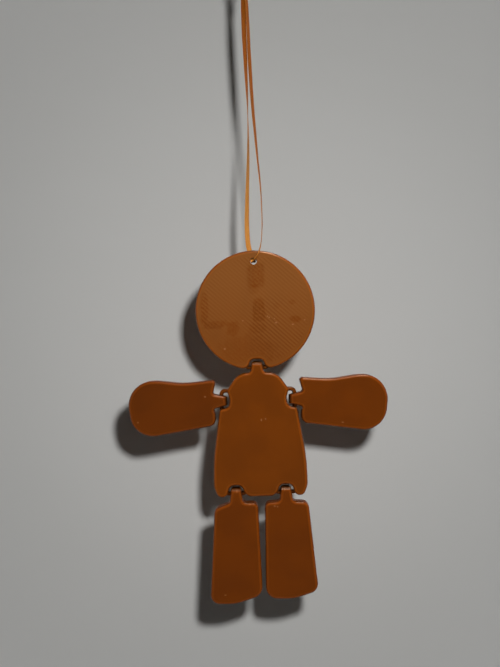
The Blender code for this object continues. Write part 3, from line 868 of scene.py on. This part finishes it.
def blend(a, b, c, d, t):
    """A smooth curve from b to c, through four points in a row."""
    a, b, c, d = Vector(a), Vector(b), Vector(c), Vector(d)
    ways = []
    for before, here, after in ((a, b, c), (b, c, d)):
        near, far = (here - before).length or 1, (after - here).length or 1
        ways.append(((here - before) / near * far + (after - here) / far * near) / (near + far))
    size = (c - b).length
    start, end = ways[0] * size, ways[1] * size
    s = t * t
    q = s * t
    return b * (2 * q - 3 * s + 1) + start * (q - 2 * s + t) + c * (3 * s - 2 * q) + end * (q - s)


def route():
    points, faces = [], []
    last = len(ROUTE) - 1
    for k in range(last):
        span = [ROUTE[min(max(k + i, 0), last)] for i in (-1, 0, 1, 2)]
        for i in range(ROUTE_PARTS):
            t = i / ROUTE_PARTS
            points.append(blend(*(s[0] for s in span), t) + HOLE)
            faces.append((Vector(span[1][1]).lerp(Vector(span[2][1]), t)).normalized())
    points.append(Vector(ROUTE[-1][0]) + HOLE)
    faces.append(Vector(ROUTE[-1][1]).normalized())
    return points, faces


def ribbon_section():
    top = EDGE_SECTION + WEB_SECTION + [(-u, v) for u, v in reversed(EDGE_SECTION)]
    return top + [(u, -v) for u, v in reversed(top[1:-1])]


def strip(name, points, faces, material, wide=RIBBON_WIDE, thick=RIBBON_THICK, bright=1):
    """A ribbon along points; faces say which way its width lies, bright which side shines."""
    section = ribbon_section()
    bm = bmesh.new()
    new_layer = bm.verts.layers.float.new
    along_layer, across_layer, side_layer = map(new_layer, ("along", "across", "side"))
    rings, gone = [], 0.0
    for k, point in enumerate(points):
        along = (points[min(k + 1, len(points) - 1)] - points[max(k - 1, 0)]).normalized()
        across = (faces[k] - along * faces[k].dot(along)).normalized()
        out = along.cross(across)
        if k:
            gone += (point - points[k - 1]).length
        ring = []
        for u, v in section:
            vert = bm.verts.new(point + across * (u * wide / 2) + out * (v * thick / 2))
            vert[along_layer] = gone
            vert[across_layer] = u
            vert[side_layer] = v * bright
            ring.append(vert)
        rings.append(ring)
    uv = bm.loops.layers.uv.new("UVMap")
    for low, high in zip(rings, rings[1:]):
        for k in range(len(section)):
            j = (k + 1) % len(section)
            face = bm.faces.new((low[k], low[j], high[j], high[k]))
            for loop in face.loops:
                loop[uv].uv = (loop.vert[along_layer] / UV_LONG, loop.vert[across_layer])
    bm.faces.new(rings[0])
    bm.faces.new(reversed(rings[-1]))
    obj = as_object(name, bm)
    obj.data.shade_smooth()
    obj.data.set_sharp_from_angle(angle=STRIP_SHARP)
    obj.data.materials.append(material)
    return obj


# Knot: two tight turns of ribbon round a ridged core, one crossing the other, and two tails
KNOT_MIDDLE = Vector((0, 0, KNOT_UP))
# Each turn's name, tilt and lean in degrees, radius, and height of its start over the knot's middle
KNOT_TURNS = (("knot_turn_low", 24, 20, 1.75, -0.55), ("knot_turn_high", -30, 200, 1.7, 0.6))
TURN_STEPS = 56
TURN_LAP = 4
TURN_RISE = 0.25
TURN_WOBBLE = 0.06
TURN_FLAT = 0.88
TURN_SPLAY = 0.12
TURN_WIDE = 1.9
TURN_THICK = 0.34
CORE_HALF = (0.42 * KNOT_WIDE, 0.38 * KNOT_WIDE, KNOT_UP)
CORE_SPLITS = 4
# Ridges of the core: height, waves round it and waves up it
CORE_RIDGES = ((0.05, 5, 4), (0.03, 2, 9))
CORE_STRETCH = 0.5
TAIL_STEPS = 24
TAIL_OUT = 0.5
TAIL_BACK = 0.7
TAIL_CURL = 0.35
TAIL_TURN = 4.0
TAIL_START_FACE = (0.6, -0.8)
TAIL_END_FACE = (1.0, 0.2)


def knot_turn(name, tilt, lean, radius, low, material):
    """One turn of ribbon, which laps over its own start."""
    turn = Matrix.Rotation(math.radians(lean), 3, "Z") @ Matrix.Rotation(math.radians(tilt), 3, "X")
    points, faces = [], []
    last = TURN_STEPS + TURN_LAP
    for k in range(last + 1):
        a = 2 * math.pi * k / TURN_STEPS
        c, s = math.cos(a), math.sin(a)
        r = radius * (1 + TURN_WOBBLE * math.sin(a + lean))
        points.append(KNOT_MIDDLE + turn @ Vector((r * c, r * TURN_FLAT * s, low + TURN_RISE * k / last)))
        faces.append(turn @ Vector((TURN_SPLAY * c, TURN_SPLAY * s, 1)))
    return strip(name, points, faces, material, TURN_WIDE, TURN_THICK)


def knot_core(material):
    """The gathered ribbon inside the turns."""
    bm = bmesh.new()
    bmesh.ops.create_icosphere(bm, subdivisions=CORE_SPLITS, radius=1.0)
    for v in bm.verts:
        a = math.atan2(v.co.y, v.co.x)
        ridge = 1 + sum(high * math.sin(n * a + m * v.co.z) for high, n, m in CORE_RIDGES)
        x, y, z = (c * half for c, half in zip(v.co, CORE_HALF))
        v.co = Vector((x * ridge, y * ridge, z))
    core = as_object("knot_core", bm, KNOT_MIDDLE)
    mesh = core.data
    mesh.shade_smooth()
    for key, axis in (("along", 0), ("across", 2)):
        layer = mesh.attributes.new(key, "FLOAT", "POINT")
        layer.data.foreach_set("value", [v.co[axis] / MM * CORE_STRETCH for v in mesh.vertices])
    uv = mesh.uv_layers.new(name="UVMap")
    for loop in mesh.loops:
        p = mesh.vertices[loop.vertex_index].co / MM
        uv.data[loop.index].uv = (p.x, p.z)
    mesh.materials.append(material)
    return core


def tail(name, side, lean, material):
    """A free end that rises from the knot, turns a little and leans outwards."""
    start_face, end_face = (Vector((x, y * side, 0)) for x, y in (TAIL_START_FACE, TAIL_END_FACE))
    points, faces = [], []
    for k in range(TAIL_STEPS + 1):
        t = k / TAIL_STEPS
        curl = TAIL_CURL * math.sin(TAIL_TURN * t + side)
        x, y = side * TAIL_OUT + lean * t * t, side * TAIL_BACK * t + curl * t
        points.append(Vector((x, y, KNOT_UP + TAIL * t)))
        faces.append(start_face.lerp(end_face, t).normalized())
    return strip(name, points, faces, material)


def knot(material):
    pieces = [knot_turn(*turn, material) for turn in KNOT_TURNS]
    pieces.append(knot_core(material))
    for side, lean in TAIL_LEANS:
        name = "ribbon_tail_left" if side > 0 else "ribbon_tail_right"
        pieces.append(tail(name, side, lean, material))
    return pieces


def make_ribbon():
    """Both strands and the knot; all of them move with the head."""
    material = satin()
    points, faces = route()
    middle = ROUTE_MIDDLE * ROUTE_PARTS
    back_points, back_faces = points[: middle + 1][::-1], faces[: middle + 1][::-1]
    front_points, front_faces = points[middle:], faces[middle:]
    back = strip("ribbon_back_strand", back_points, back_faces, material)
    # The front strand shows its dull side, whose colour is painted shade, to the front
    front = strip("ribbon_front_strand", front_points, front_faces, material, bright=-1)
    knot_pieces = knot(material)
    for piece in [back, front] + knot_pieces:
        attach(piece, "head")
    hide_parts("ribbon")


# Finish of each link, with places measured from the middle of the head or from the neck bar
HEAD_FROST_AND_SHEEN = 0.86
# A mark's place, half size, change of the frosting, squareness of its corners and raggedness
HEAD_MARKS = [
    ((0.7, 14.8), (3.9, 5.4), -0.42, 6.0, 0.12),
    ((-0.6, 9.0), (2.6, 2.6), -0.18, 2.0, 0.5),
    ((1.5, 0.0), (2.8, 5.2), -0.40, 4.0, 0.2),
    ((0.6, -7.6), (4.0, 2.6), -0.20, 2.0, 0.5),
    ((-21.6, 1.0), (2.0, 7.0), -0.30, 2.0, 0.6),
    ((-17.0, -5.6), (5.6, 1.9), -0.30, 2.0, 0.7),
    ((-9.6, -7.4), (3.0, 3.3), -0.30, 2.0, 0.7),
    ((-3.5, -17.0), (14.0, 7.0), -0.16, 2.0, 0.5),
    ((16.9, -4.2), (2.7, 1.4), -0.42, 2.0, 0.6),
    ((15.6, 3.0), (1.7, 1.2), -0.25, 2.0, 0.6),
    ((9.2, 1.7), (1.6, 1.3), -0.12, 2.0, 0.6),
]
# A light speck's or scuff's place, half width and half height
HEAD_SPECKS = [
    (5.2, -2.7, 0.5, 0.5), (5.9, -3.2, 0.6, 0.5), (8.1, -3.8, 0.4, 0.4), (8.7, -5.5, 0.8, 0.6),
    (-13.4, -16.0, 0.7, 0.7), (-5.4, -4.3, 0.6, 0.4), (15.8, -6.5, 0.8, 0.5), (20.9, -4.7, 0.5, 0.5),
]
# The torso's wide speck on the neck tongue's tip and each leg's tall speck on its tongue are painted
# glints; the others are light specks
BODY_SPECKS_AND_GLINTS = {
    "torso": [(1.1, -22.2, 0.5, 0.9), (2.9, -21.8, 0.5, 0.6), (0.1, 2.0, 1.4, 0.6)],
    "left_arm": [(35.6, -24.3, 0.8, 0.5)],
    "right_arm": [(-51.3, -21.6, 0.6, 0.6), (-22.5, -11.6, 0.7, 0.5)],
    "left_leg": [(5.6, -58.9, 0.7, 0.5), (6.8, -59.2, 0.5, 0.5), (10.0, -52.0, 0.4, 1.0)],
    "right_leg": [(-16.6, -96.0, 0.8, 0.4), (-10.3, -52.2, 0.55, 1.0), (-5.0, -57.9, 1.0, 0.5)],
}
# Each link's tone: one plastic, made lighter or darker per link as painted light and shade, the head
# lightest and the arms darkest
LINK_TONES_WITH_PAINTED_LIGHT = {
    "head": (0.150, 0.038, 0.0036),
    "torso": (0.135, 0.031, 0.0015),
    "left_arm": (0.120, 0.026, 0.0010),
    "right_arm": (0.106, 0.023, 0.0012),
    "left_leg": (0.121, 0.026, 0.0010),
    "right_leg": (0.121, 0.026, 0.0010),
}


def placed(specks_and_glints, middle):
    return [(x + middle.x, z + middle.z, *size) for x, z, *size in specks_and_glints]


def make_links():
    """All six links with their finishes."""
    marks = [((x + HEAD.x, z + HEAD.z), *rest) for (x, z), *rest in HEAD_MARKS]
    head_plastic = plastic("head_plastic", LINK_TONES_WITH_PAINTED_LIGHT["head"], HEAD_FROST_AND_SHEEN, marks, placed(HEAD_SPECKS, HEAD))
    dress(make_head(), "head", head_plastic)
    makers = {
        "torso": make_torso,
        "left_arm": lambda: make_arm("left_arm_link", 1),
        "left_leg": lambda: make_leg("left_leg_link", 1, **LEFT_LEG),
        "right_arm": lambda: make_arm("right_arm_link", -1),
        "right_leg": lambda: make_leg("right_leg_link", -1, **RIGHT_LEG),
    }
    for node, make in makers.items():
        material = plastic(node + "_plastic", LINK_TONES_WITH_PAINTED_LIGHT[node], specks_and_glints=placed(BODY_SPECKS_AND_GLINTS[node], NECK))
        dress(make(), node, material)


# Backdrop, in metres: a pale wall, far enough back for the legs to swing, that runs out into a floor
WALL_BACK = 0.088
WALL_TOP = 1.6
FLOOR_LOW = -0.7
FLOOR_FRONT = -2.4
STAGE_HALF = 2.4
SWEEP = 0.12
SWEEP_STEPS = 16
WALL_COLOUR = (0.70, 0.70, 0.68, 1)
STUDIO_COLOUR = (0.9, 0.9, 0.9, 1)
# Away from the figure and its shadow, wall and floor show as pale as the studio round them
GLOW = 0.4
GLOW_MIDDLE = (0.0, 0.05, -0.14)
GLOW_FROM_TO = (0.14, 0.6)


def backdrop_material():
    """Matt and pale, seen from the front only, and open to light from behind."""
    t = Tree(bpy.data.materials.new("backdrop"))
    t.shade(Base_Color=WALL_COLOUR, Roughness=0.95, Specular_IOR_Level=0.1, Emission_Color=STUDIO_COLOUR)
    spot = t.add("NewGeometry").outputs
    far = t.add("VectorMath", {0: spot["Position"], 1: GLOW_MIDDLE}, operation="DISTANCE")
    glow = t.smooth(far.outputs["Value"], *GLOW_FROM_TO)
    t.shade(Emission_Strength=t.math("MULTIPLY", t.math("MULTIPLY", glow, t.seen()), GLOW))
    rays = t.add("LightPath").outputs
    unseen = t.math("MAXIMUM", spot["Backfacing"], rays["Is Shadow Ray"])
    clear = t.add("BsdfTransparent").outputs[0]
    mixed = t.add("MixShader", {0: unseen, 1: t.shader.outputs[0], 2: clear}).outputs[0]
    t.set(t.tree.nodes["Material Output"].inputs["Surface"], mixed)
    return t.owner


def backdrop():
    line = [(WALL_BACK, WALL_TOP)]
    for k in range(SWEEP_STEPS + 1):
        a = math.pi / 2 * k / SWEEP_STEPS
        line.append((WALL_BACK - SWEEP * (1 - math.cos(a)), FLOOR_LOW + SWEEP * (1 - math.sin(a))))
    line.append((FLOOR_FRONT, FLOOR_LOW))
    bm = bmesh.new()
    left = [bm.verts.new((-STAGE_HALF, y, z)) for y, z in line]
    right = [bm.verts.new((STAGE_HALF, y, z)) for y, z in line]
    for k in range(len(line) - 1):
        bm.faces.new((left[k], left[k + 1], right[k + 1], right[k]))
    mesh = bpy.data.meshes.new("backdrop")
    bm.to_mesh(mesh)
    bm.free()
    mesh.shade_smooth()
    mesh.materials.append(backdrop_material())
    obj = bpy.data.objects.new("backdrop", mesh)
    bpy.context.scene.collection.objects.link(obj)
    return obj


# Light, in metres and watts
LAMPS_LOOK_AT = Vector((0, 0, -0.17))
WHITE = (1.0, 1.0, 1.0)
WARM = (1.0, 0.78, 0.55)


def all_but(obj):
    """A collection for light linking that takes one object out of a lamp's reach."""
    others = bpy.data.collections.new("not_stage")
    others.objects.link(obj)
    others.collection_objects[0].light_linking.link_state = "EXCLUDE"
    return others


def lamp(name, place, power, size, colour=WHITE, diffuse=True, glossy=True, lights=None):
    data = bpy.data.lights.new(name, "AREA")
    data.shape = "DISK"
    data.size = size
    data.energy = power
    data.color = colour
    obj = bpy.data.objects.new(name, data)
    obj.location = place
    obj.rotation_euler = (LAMPS_LOOK_AT - Vector(place)).to_track_quat("-Z", "Y").to_euler()
    obj.visible_camera = False
    obj.visible_diffuse = diffuse
    obj.visible_glossy = glossy
    if lights:
        obj.light_linking.receiver_collection = lights
    bpy.context.scene.collection.objects.link(obj)
    return obj


def light(stage):
    """A small key lamp near the camera throws the shadow; most other lamps light the figure only."""
    figure = all_but(stage)
    lamp("key", place=(0.0295, -0.343, -0.1007), power=1.05, size=0.018, glossy=False)
    lamp("fill", place=(0.2, -1.3, 0.5), power=0.6, size=0.8, glossy=False, lights=figure)
    lamp("top", place=(0.2, -0.06, 0.6), power=5, size=0.12, colour=WARM, lights=figure)
    lamp("glint", place=(0.15, -0.35, 0.5), power=9, size=0.1, colour=WARM, diffuse=False)
    lamp("right", place=(0.9, -0.02, 0.05), power=2, size=0.4, lights=figure)
    lamp("left", place=(-0.9, -0.02, -0.1), power=1.4, size=0.4, lights=figure)
    back = lamp("back", place=(0.25, 1.2, 0.25), power=9, size=0.8, glossy=False)
    back.data.cycles.use_multiple_importance_sampling = False


def studio():
    """A pale world for the rays that show it, with no diffuse light of its own."""
    t = Tree(bpy.data.worlds.new("studio"), "Background")
    t.shade(Color=STUDIO_COLOUR, Strength=t.math("MULTIPLY", t.seen(), GLOW))
    return t.owner


# Camera, in metres, at the photograph's place; its focal length and picture height are in pixels
CAMERA = (-0.0025, -0.3427, -0.14465)
CAMERA_ROLL = math.radians(1.9)
FOCAL = 800
PICTURE_TALL = 667
SENSOR = 36
NEAREST = 0.01


def make_camera():
    camera = bpy.data.objects.new("camera", bpy.data.cameras.new("camera"))
    bpy.context.scene.collection.objects.link(camera)
    camera.data.lens = FOCAL * SENSOR / PICTURE_TALL
    camera.data.clip_start = NEAREST
    turn = Matrix.Rotation(CAMERA_ROLL, 4, "Y") @ Matrix.Rotation(math.pi / 2, 4, "X")
    camera.matrix_world = Matrix.Translation(CAMERA) @ turn
    return camera


make_ribbon()
make_links()
stage = backdrop()
light(stage)
bpy.context.scene.world = studio()
bpy.context.scene.camera = make_camera()
bpy.context.scene.view_settings.view_transform = "Standard"
